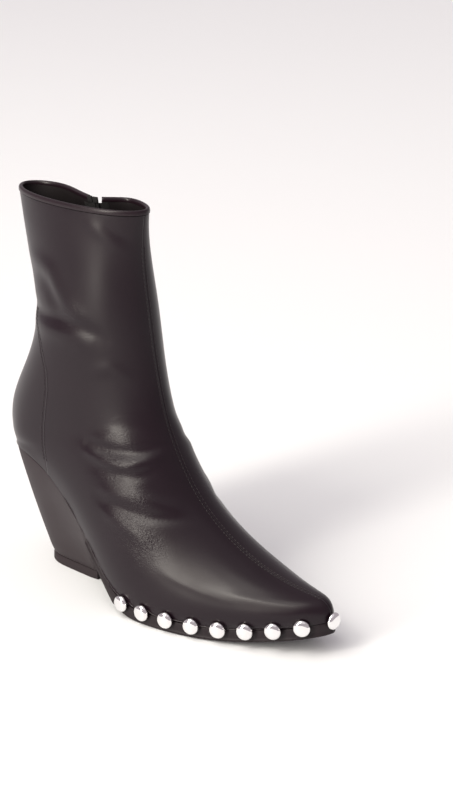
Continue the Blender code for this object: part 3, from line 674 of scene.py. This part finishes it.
# %% Distance to the front seam and to the counter seam
SWING_START = 0.095
SWING_LENGTH = 0.100
TOE_SWING = 0.008
FRONT_FROM = 0.03
COUNTER_SEAM = [
    # x, z in millimetres
    (-18, 170),
    (-12, 158),
    (-6, 147),
    (-0.5, 135),
    (0.5, 123),
    (-1.5, 111),
    (-3, 99),
    (-2.5, 88),
    (-0.5, 76),
]


def centre_line(x):
    """Where the boot's centre line runs at a place along it."""
    return TOE_SWING * np.clip((x - SWING_START) / SWING_LENGTH, 0.0, None) ** 1.5


def store(piece, name, values):
    """Keep one number for each point of a piece."""
    piece.data.attributes.new(name, "FLOAT", "POINT").data.foreach_set("value", values)


seam = np.array(COUNTER_SEAM) * MM
front_distance = skin_points[:, 1] - centre_line(skin_points[:, 0])
counter_distance = skin_points[:, 0] - np.interp(skin_points[:, 2], seam[::-1, 1], seam[::-1, 0])
behind = skin_points[:, 0] < FRONT_FROM
front_distance = np.where(behind | ~is_outer, 1.0, front_distance)
above = skin_points[:, 2] > seam[0, 1]
counter_distance = np.where(above | ~is_outer, 1.0, counter_distance)
store(upper, "front_line", front_distance)
store(upper, "counter_line", counter_distance)

FLEX_PLACES = [
    # x, y, z in millimetres, reach
    (58, -29, 92, 16),
    (76, -31, 70, 12),
    (72, -37, 55, 15),
    (86, -34, 46, 13),
    (60, 20, 92, 14),
    (78, 24, 66, 14),
    (22, -27, 172, 10),
]
flex = np.zeros(len(skin_points))
for *place, reach in FLEX_PLACES:
    away = np.linalg.norm(skin_points - np.array(place) * MM, axis=1)
    flex = np.maximum(flex, np.exp(-((away / (reach * MM)) ** 2)))
store(upper, "flex", flex)

centres = np.array([p.center for p in upper.data.polygons])
face_normals = np.array([p.normal for p in upper.data.polygons])
upper.data.polygons.foreach_set("material_index", (~faces_out(centres, face_normals)).astype(int))
shade(upper, 50)
finish_piece(upper, "boot", ["upper"], [upper_leather, lining_leather])

# %% [markdown]
# ## Sole, heel and binding
# These pieces keep the form of their solids. Each is copied, subdivided between its creased edges so that no
# facet shows, and given its own leather. The lift's upper face comes up until it nearly meets the heel.

# %% Smooth copies of the covered pieces
LIFT_RISE = 0.25 * MM
COVERED = [
    # solid, new name, slot, finish, rim angle, levels
    ("outsole", "sole_edge", "sole_cover", cover_leather, 25, 2),
    ("heel", "heel_block", "heel_cover", heel_leather, 30, 2),
    ("heel_top_piece", "heel_lift", "lift_rubber", rubber, 25, 2),
    ("collar_binding", "rolled_binding", "binding_leather", edge_leather, 70, 2),
]
for solid, name, slot, finish, rim, levels in COVERED:
    piece = take_copy(solid, name)
    to_fine_skin(piece, math.radians(rim), levels)
    if solid == "heel_top_piece":
        points = read_points(piece)
        points[points[:, 2] > points[:, 2].mean(), 2] += LIFT_RISE
        write_points(piece, points)
    shade(piece, 35)
    finish_piece(piece, "boot", [solid], [finish])

# %% [markdown]
# ## Sock and tapes
# The insole's sock and the two zip tapes are flat strips, and their solids already have the right shape.
# They stay, and only get their cloth.

# %% Cloth on the solids that stay
for node, cloth in (("insole", sock_cloth), ("zip_tape_front", tape_cloth), ("zip_tape_back", tape_cloth)):
    nodes[node].material_slots[0].material = cloth
    print(node, "is covered with", cloth.name)

# %% [markdown]
# ## Inside of the collar
# A boot's lining ends in a facing, a band of leather that runs round the inside of the collar and is caught
# by the binding. Rays from the middle of the shaft find the inner wall, and the band lies just off it. It
# starts on one side of the zip and ends on the other.

# %% Facing band
FACING_OFFSET = 0.30 * MM
FACING_DROP = 11.0 * MM
FACING_FIRST = 0.8 * MM
FACING_TOP = 1.5 * MM
FACING_THICKNESS = 0.30 * MM
FACING_LEVELS = 5
FACING_STEPS = 110
ZIP_TURN = math.radians(82)
WALL_REACH = 0.070
COLLAR_ENDS = 3 * MM
SHAFT_MIDDLE = Vector((0.008, -0.010, 0.0))


def sheet_piece(name, rows, thickness):
    """A thin sheet through rows of points, given a thickness."""
    wide = len(rows[0])
    points = [tuple(point) for row in rows for point in row]
    faces = [
        (r * wide + c, r * wide + c + 1, (r + 1) * wide + c + 1, (r + 1) * wide + c)
        for r in range(len(rows) - 1)
        for c in range(wide - 1)
    ]
    mesh = bpy.data.meshes.new(name)
    mesh.from_pydata(points, [], faces)
    piece = bpy.data.objects.new(name, mesh)
    scene.collection.objects.link(piece)
    work(piece, "SOLIDIFY", thickness=thickness, offset=0.0)
    pick(piece)
    bpy.ops.object.mode_set(mode="EDIT")
    bpy.ops.mesh.select_all(action="SELECT")
    bpy.ops.mesh.normals_make_consistent(inside=False)
    bpy.ops.object.mode_set(mode="OBJECT")
    return piece


def find_collar_heights():
    """Height of the leather's top behind and in front, under the binding."""
    points = np.array([tuple(v.co) for v in nodes["collar_binding"].data.vertices])
    back = points[points[:, 0] < points[:, 0].min() + COLLAR_ENDS]
    front = points[points[:, 0] > points[:, 0].max() - COLLAR_ENDS]
    return (back[:, 0].mean(), back[:, 2].min()), (front[:, 0].mean(), front[:, 2].min())


def collar_height(x):
    """Height of the leather's top edge at a place along the boot."""
    (back_x, back_z), (front_x, front_z) = collar_ends
    return back_z + (x - back_x) / (front_x - back_x) * (front_z - back_z)


def facing_rows(tree):
    """Points of the facing, from one side of the zip round to the other."""
    rows = []
    for angle in np.linspace(ZIP_TURN, ZIP_TURN + 2 * math.pi, FACING_STEPS):
        away = Vector((math.cos(angle), math.sin(angle), 0.0))
        start = SHAFT_MIDDLE + Vector((0.0, 0.0, collar_height(SHAFT_MIDDLE.x) - FACING_DROP))
        wall, _, _, _ = tree.ray_cast(start, away)
        if wall is None:
            continue
        row = []
        for drop in np.linspace(FACING_FIRST, FACING_DROP, FACING_LEVELS):
            start = SHAFT_MIDDLE + Vector((0.0, 0.0, collar_height(wall.x) - drop))
            place, _, _, distance = tree.ray_cast(start, away)
            if place is None or distance > WALL_REACH:
                row = []
                break
            row.append(place - away * FACING_OFFSET)
        if row:
            rows.append([row[0] + Vector((0.0, 0.0, FACING_TOP)), *row])
    return rows


collar_ends = find_collar_heights()
folded_tree = tree_of(upper)
facing = sheet_piece("collar_facing", facing_rows(folded_tree), FACING_THICKNESS)
shade(facing, 40)
finish_piece(facing, "boot", [], [lining_leather])

# %% [markdown]
# ## Welt bead
# A fine cord of leather closes the joint between the upper and the sole. It follows the outermost of the
# skin's lowest points, found in small steps round the boot's plan, and runs along the gap in that joint.

# %% Bead round the feather line
BEAD_RADIUS = 0.42 * MM
BEAD_STEPS = 300
BEAD_BAND = 1.0 * MM
BEAD_OUT = 0.12 * MM
BEAD_DOWN = np.array([0.0, 0.0, 0.2 * MM])
BEAD_BELOW = 0.09
PLAN_MIDDLE = np.array([0.070, 0.0])


def lowest_round():
    """The outermost of the upper's lowest points in each direction from the plan's middle."""
    points = read_points(upper)[is_outer]
    flat = points[:, :2] - PLAN_MIDDLE
    turn = np.arctan2(flat[:, 1], flat[:, 0])
    low = points[:, 2] < BEAD_BELOW
    points, turn = points[low], turn[low]
    found = []
    for angle in np.linspace(-math.pi, math.pi, BEAD_STEPS, endpoint=False):
        away = np.abs(np.angle(np.exp(1j * (turn - angle))))
        near_by = points[away < 2.2 * math.pi / BEAD_STEPS]
        if len(near_by):
            lowest = near_by[near_by[:, 2] < near_by[:, 2].min() + BEAD_BAND]
            found.append(lowest[np.linalg.norm(lowest[:, :2] - PLAN_MIDDLE, axis=1).argmax()])
    return np.array(found)


def smooth_round(points, passes):
    """Even out a closed line of points."""
    for _ in range(passes):
        points = 0.5 * points + 0.25 * (np.roll(points, 1, axis=0) + np.roll(points, -1, axis=0))
    return points


bead_line = smooth_round(lowest_round(), 3)
outside = np.c_[bead_line[:, :2] - PLAN_MIDDLE, np.zeros(len(bead_line))]
outside /= np.linalg.norm(outside, axis=1)[:, None]
bead_line = bead_line + outside * BEAD_OUT - BEAD_DOWN
bead_curve = bpy.data.curves.new("welt_bead", "CURVE")
bead_curve.dimensions = "3D"
bead_curve.bevel_depth = BEAD_RADIUS
bead_curve.bevel_resolution = 2
spline = bead_curve.splines.new("POLY")
spline.points.add(len(bead_line) - 1)
spline.points.foreach_set("co", np.c_[bead_line, np.ones(len(bead_line))].ravel())
spline.use_cyclic_u = True
bead = bpy.data.objects.new("welt_bead", bead_curve)
scene.collection.objects.link(bead)
pick(bead)
bpy.ops.object.convert(target="MESH")
bead = bpy.context.object
shade(bead, 60)
finish_piece(bead, "boot", [], [edge_leather])

# %% [markdown]
# ## Zip teeth
# A closed zip is two rows of teeth that alternate. The solid chain gives the path and the directions across
# it, so one tooth is modelled and copied down that path, first from one side and then from the other.

# %% Path of the chain and its teeth
TOOTH_PITCH = 0.75 * MM
TOOTH_LENGTH = 2.1 * MM
TOOTH_HEIGHT = 0.62 * MM
TOOTH_SHARE = 0.78
TOOTH_BEVEL = 0.12 * MM
TOOTH_SHIFT = 0.55 * MM
TOOTH_RISE = 0.62 * MM
CHAIN_RING = 4


def chain_frames():
    """Centre, run and outward direction at each ring of the solid chain."""
    chain = take_copy("zip_chain", "chain_guide")
    points = read_points(chain)
    points = points[np.argsort(points[:, 2])]
    bpy.data.objects.remove(chain, do_unlink=True)
    rings = points.reshape(-1, CHAIN_RING, 3)
    centres = rings.mean(axis=1)
    run = np.gradient(centres, axis=0)
    run /= np.linalg.norm(run, axis=1)[:, None]
    across = []
    for ring, centre in zip(rings, centres):
        corner = ring - centre
        toward_heel = corner[np.argsort(corner[:, 0])[:2]].mean(axis=0)
        across.append(-toward_heel / np.linalg.norm(toward_heel))
    across = np.array(across)
    across -= run * (across * run).sum(axis=1)[:, None]
    across /= np.linalg.norm(across, axis=1)[:, None]
    out = np.cross(run, across)
    out *= np.sign(out[:, 1])[:, None]
    return centres, run, across, out


def lay_copies(name, pattern, places):
    """Join copies of a pattern piece, one for each placing matrix, into a single piece."""
    base = np.c_[read_points(pattern), np.ones(len(pattern.data.vertices))]
    faces = [tuple(p.vertices) for p in pattern.data.polygons]
    points = np.concatenate([base @ np.array(place).T for place in places])[:, :3]
    count = len(base)
    joined = [tuple(i + count * k for i in face) for k in range(len(places)) for face in faces]
    mesh = bpy.data.meshes.new(name)
    mesh.from_pydata(points.tolist(), [], joined)
    piece = bpy.data.objects.new(name, mesh)
    scene.collection.objects.link(piece)
    bpy.data.objects.remove(pattern, do_unlink=True)
    return piece


def frame_matrix(place, along, side, up):
    """A placing matrix from a point and three directions."""
    matrix = Matrix.Identity(4)
    for k, axis in enumerate((along, side, up, place)):
        for row in range(3):
            matrix[row][k] = axis[row]
    return matrix


def make_tooth():
    """One tooth: a small block with bevelled edges, its length across the chain."""
    bpy.ops.object.select_all(action="DESELECT")
    bpy.ops.mesh.primitive_cube_add(size=1.0)
    tooth = bpy.context.object
    bpy.ops.object.mode_set(mode="EDIT")
    bpy.ops.transform.resize(value=(TOOTH_SHARE * TOOTH_PITCH, TOOTH_LENGTH, TOOTH_HEIGHT))
    bpy.ops.mesh.bevel(offset=TOOTH_BEVEL, segments=1)
    bpy.ops.object.mode_set(mode="OBJECT")
    return tooth


chain_centre, chain_run, chain_across, chain_out = chain_frames()
chain_length = np.concatenate([[0.0], np.cumsum(np.linalg.norm(np.diff(chain_centre, axis=0), axis=1))])
places = []
for number, place in enumerate(np.arange(TOOTH_PITCH, chain_length[-1] - TOOTH_PITCH, TOOTH_PITCH)):
    centre, run, across, out = (
        np.array([np.interp(place, chain_length, table[:, k]) for k in range(3)])
        for table in (chain_centre, chain_run, chain_across, chain_out)
    )
    shift = across * TOOTH_SHIFT * (1 if number % 2 else -1)
    places.append(frame_matrix(centre + shift + out * TOOTH_RISE, run, across, out))
teeth = lay_copies("zip_teeth_row", make_tooth(), places)
shade(teeth, 20)
finish_piece(teeth, "boot", [], [teeth_plastic])
nodes["zip_chain"].material_slots[0].material = tape_cloth
print(len(places), "teeth on", round(chain_length[-1] / MM), "mm of chain")

# %% [markdown]
# ## Zip backing and tape ends
# Behind the slit the two tapes are sewn to the inside of the wall, so no light comes through beside them. A
# strip of the same cloth closes the slit from inside, and the ends of the tapes stand up between the ends of
# the binding.

# %% Backing strip and tape ends
BACKING_REACH = [-8.5 * MM, -7.0 * MM, -5.4 * MM, 5.4 * MM, 7.0 * MM, 8.5 * MM]
BACKING_OFFSET = 0.35 * MM
BACKING_START = 0.015
BACKING_RISE = 4.4 * MM
BACKING_THICKNESS = 0.25 * MM
TAPE_SINK = 0.5 * MM
TAPE_END = (3.8 * MM, 4.2 * MM, 1.3 * MM)
TAPE_END_BEVEL = 0.45 * MM
TAPE_END_PLACES = [
    # shift across the chain, rise along it
    (-2.35 * MM, 1.9 * MM),
    (2.35 * MM, 1.6 * MM),
]


def backing_rows(tree):
    """Rows across the slit, just inside the wall, from the zip's foot to above its top."""
    rows = []
    for centre, across, out in zip(chain_centre, chain_across, chain_out):
        row = []
        for reach in BACKING_REACH:
            start = Vector(centre + across * reach - out * BACKING_START)
            place, _, _, distance = tree.ray_cast(start, Vector(out))
            if place is None or distance > 1.5 * BACKING_START:
                row = []
                break
            row.append(place - Vector(out) * BACKING_OFFSET)
        if row:
            rows.append(row)
    lift = Vector(chain_run[-1]) * BACKING_RISE - Vector(chain_out[-1]) * TAPE_SINK
    rows.append([place + lift for place in rows[-1]])
    return rows


backing = sheet_piece("zip_backing", backing_rows(folded_tree), BACKING_THICKNESS)
shade(backing, 40)
finish_piece(backing, "boot", [], [tape_cloth])


def make_tape_end():
    """The folded end of a tape: a small pillow of cloth."""
    bpy.ops.object.select_all(action="DESELECT")
    bpy.ops.mesh.primitive_cube_add(size=1.0)
    end = bpy.context.object
    bpy.ops.object.mode_set(mode="EDIT")
    bpy.ops.transform.resize(value=TAPE_END)
    bpy.ops.mesh.bevel(offset=TAPE_END_BEVEL, segments=3)
    bpy.ops.object.mode_set(mode="OBJECT")
    return end


top, run, across, out = chain_centre[-1], chain_run[-1], chain_across[-1], chain_out[-1]
places = [
    frame_matrix(top + across * shift + run * rise - out * TAPE_SINK, run, across, out)
    for shift, rise in TAPE_END_PLACES
]
tape_ends = lay_copies("tape_ends", make_tape_end(), places)
shade(tape_ends, 40)
finish_piece(tape_ends, "boot", [], [tape_cloth])

# %% [markdown]
# ## Slider and pull
# Both are small metal castings. Their copies get rounded edges, which catch the light. The pull rides on its
# own body, because it tilts on the slider's bridge.

# %% Slider and pull with rounded edges
CASTING_BEVEL = 0.18 * MM
FLAT_ANGLE = math.radians(2)
EDGE_ANGLE = math.radians(35)


def cast_copy(node, name, body):
    """A copy of a small casting with rounded edges, riding on its body."""
    piece = take_copy(node, name)
    pick(piece)
    bpy.ops.object.mode_set(mode="EDIT")
    bpy.ops.mesh.select_all(action="SELECT")
    bpy.ops.mesh.dissolve_limited(angle_limit=FLAT_ANGLE)
    bpy.ops.object.mode_set(mode="OBJECT")
    work(piece, "BEVEL", width=CASTING_BEVEL, segments=3, limit_method="ANGLE", angle_limit=EDGE_ANGLE)
    shade(piece, 35)
    finish_piece(piece, body, [node], [zip_metal])


cast_copy("zip_slider", "slider_casting", "boot")
cast_copy("zip_pull", "pull_tab", "pull")

# %% [markdown]
# ## Studs
# A stud is a pressed dome with a turned-down shoulder. One half profile is spun into a dome, and a copy with
# its own mesh goes to each solid stud, whose flattest direction gives the axis and whose base the place.

# %% Spin one stud and copy it
STUD_RADIUS = 5.1 * MM
STUD_HEIGHT = 2.7 * MM
STUD_SPIN_STEPS = 40
STUDS_MIDDLE = (0.075, 0.0)
STUD_PROFILE = [
    # radius, height as shares of the stud
    (0.0, 1.0),
    (0.25, 0.985),
    (0.50, 0.93),
    (0.70, 0.83),
    (0.84, 0.68),
    (0.93, 0.48),
    (0.985, 0.24),
    (1.0, 0.08),
    (0.99, 0.0),
    (0.0, 0.0),
]


def make_stud():
    """Spin the profile round the stud's axis and close it."""
    mesh = bpy.data.meshes.new("stud_profile")
    corners = [(r * STUD_RADIUS, 0.0, h * STUD_HEIGHT) for r, h in STUD_PROFILE]
    mesh.from_pydata(corners, [(k, k + 1) for k in range(len(corners) - 1)], [])
    stud = bpy.data.objects.new("stud_pattern", mesh)
    scene.collection.objects.link(stud)
    pick(stud)
    bpy.ops.object.mode_set(mode="EDIT")
    bpy.ops.mesh.select_all(action="SELECT")
    bpy.ops.mesh.spin(steps=STUD_SPIN_STEPS, angle=2 * math.pi, center=(0, 0, 0), axis=(0, 0, 1))
    bpy.ops.mesh.select_all(action="SELECT")
    bpy.ops.mesh.remove_doubles(threshold=0.01 * MM)
    bpy.ops.mesh.normals_make_consistent(inside=False)
    bpy.ops.object.mode_set(mode="OBJECT")
    return stud


def stud_place(node):
    """Placing matrix of a solid stud: the middle of its base and its axis."""
    points = np.unique(np.round([tuple(v.co) for v in nodes[node].data.vertices], 6), axis=0)
    middle = points.mean(axis=0)
    axis = np.linalg.svd(points - middle)[2][2]
    away = middle - np.array([*STUDS_MIDDLE, middle[2]])
    if axis @ away < 0:
        axis = -axis
    base = middle + axis * ((points - middle) @ axis).min()
    side = np.cross(axis, (0.0, 0.0, 1.0))
    side /= np.linalg.norm(side)
    return frame_matrix(base, side, np.cross(axis, side), axis)


stud_nodes = sorted(name for name in nodes if name.startswith("stud_"))
pattern = make_stud()
for node in stud_nodes:
    stud = bpy.data.objects.new(node.replace("stud_", "dome_"), pattern.data.copy())
    scene.collection.objects.link(stud)
    stud.data.transform(stud_place(node))
    shade(stud, 50)
    finish_piece(stud, "boot", [node], [chrome])
bpy.data.objects.remove(pattern, do_unlink=True)

# %% [markdown]
# ## Stitching
# Two rows of stitches hold the front seam and each counter seam, and one row runs down each side of the zip.
# A stitch is a short fat thread that dips into the leather at both ends. One is modelled and copied along
# each row.

# %% Stitch rows
STITCH_LENGTH = 1.9 * MM
STITCH_PITCH = 2.4 * MM
THREAD = 0.36 * MM
SEAM_SIDE = 1.3 * MM
STITCH_RISE = 0.08 * MM
HALF_STEP = 0.5 * MM
COUNTER_SHIFT = -0.3 * MM
ZIP_SIDE = 6.8 * MM
FRONT_ANGLES = (78.2, 23.4)
FRONT_STEPS = 420
FRONT_PIVOT_Z = -0.05


def make_stitch():
    """A stitch is a small ball, stretched along the row."""
    bpy.ops.object.select_all(action="DESELECT")
    bpy.ops.mesh.primitive_uv_sphere_add(segments=8, ring_count=5, radius=0.5)
    stitch = bpy.context.object
    bpy.ops.object.mode_set(mode="EDIT")
    bpy.ops.transform.rotate(value=math.pi / 2, orient_axis="Y", center_override=(0, 0, 0))
    bpy.ops.transform.resize(value=(STITCH_LENGTH, THREAD, THREAD))
    bpy.ops.object.mode_set(mode="OBJECT")
    return stitch


def stitch_row(line, normals):
    """Placing matrices of the stitches along a line on the skin."""
    run = np.concatenate([[0.0], np.cumsum(np.linalg.norm(np.diff(line, axis=0), axis=1))])
    matrices = []
    for place in np.arange(STITCH_PITCH, run[-1] - STITCH_PITCH / 2, STITCH_PITCH):
        first, last = (
            np.array([np.interp(place + step, run, line[:, k]) for k in range(3)])
            for step in (-HALF_STEP, HALF_STEP)
        )
        along = (last - first) / np.linalg.norm(last - first)
        up = np.array([np.interp(place, run, normals[:, k]) for k in range(3)])
        up -= along * (up @ along)
        up /= np.linalg.norm(up)
        middle = (first + last) / 2
        matrices.append(frame_matrix(middle + up * STITCH_RISE, along, np.cross(up, along), up))
    return matrices


def front_row(tree, offset):
    """A row beside the front seam, found by rays towards a point under the heel."""
    places = []
    normals = []
    for angle in np.radians(np.linspace(*FRONT_ANGLES, FRONT_STEPS)):
        away = Vector((math.cos(angle), 0.0, math.sin(angle)))
        y = offset
        for _ in range(3):
            start = Vector((0.0, y, FRONT_PIVOT_Z)) + away * 0.5
            place, normal, _, _ = tree.ray_cast(start, -away)
            y = float(centre_line(place.x)) + offset
        places.append(place)
        normals.append(normal)
    return np.array(places), np.array(normals)


rows = []
for offset in (-SEAM_SIDE, SEAM_SIDE):
    rows += stitch_row(*front_row(folded_tree, offset))
for side in (-1, 1):
    for offset in (-SEAM_SIDE, SEAM_SIDE):
        corners = seam + np.array([offset + COUNTER_SHIFT, 0.0])
        rows += stitch_row(*throw_on_side(folded_tree, path_points(corners), side))
zip_path = np.stack([chain_centre[:, 0], chain_centre[:, 2]], axis=1)
for offset in (-ZIP_SIDE, ZIP_SIDE):
    corners = zip_path + np.array([offset, 0.0])
    rows += stitch_row(*throw_on_side(folded_tree, path_points(corners), 1))
stitches = lay_copies("seam_stitches", make_stitch(), rows)
shade(stitches, 60)
finish_piece(stitches, "boot", [], [thread])
print(len(rows), "stitches")
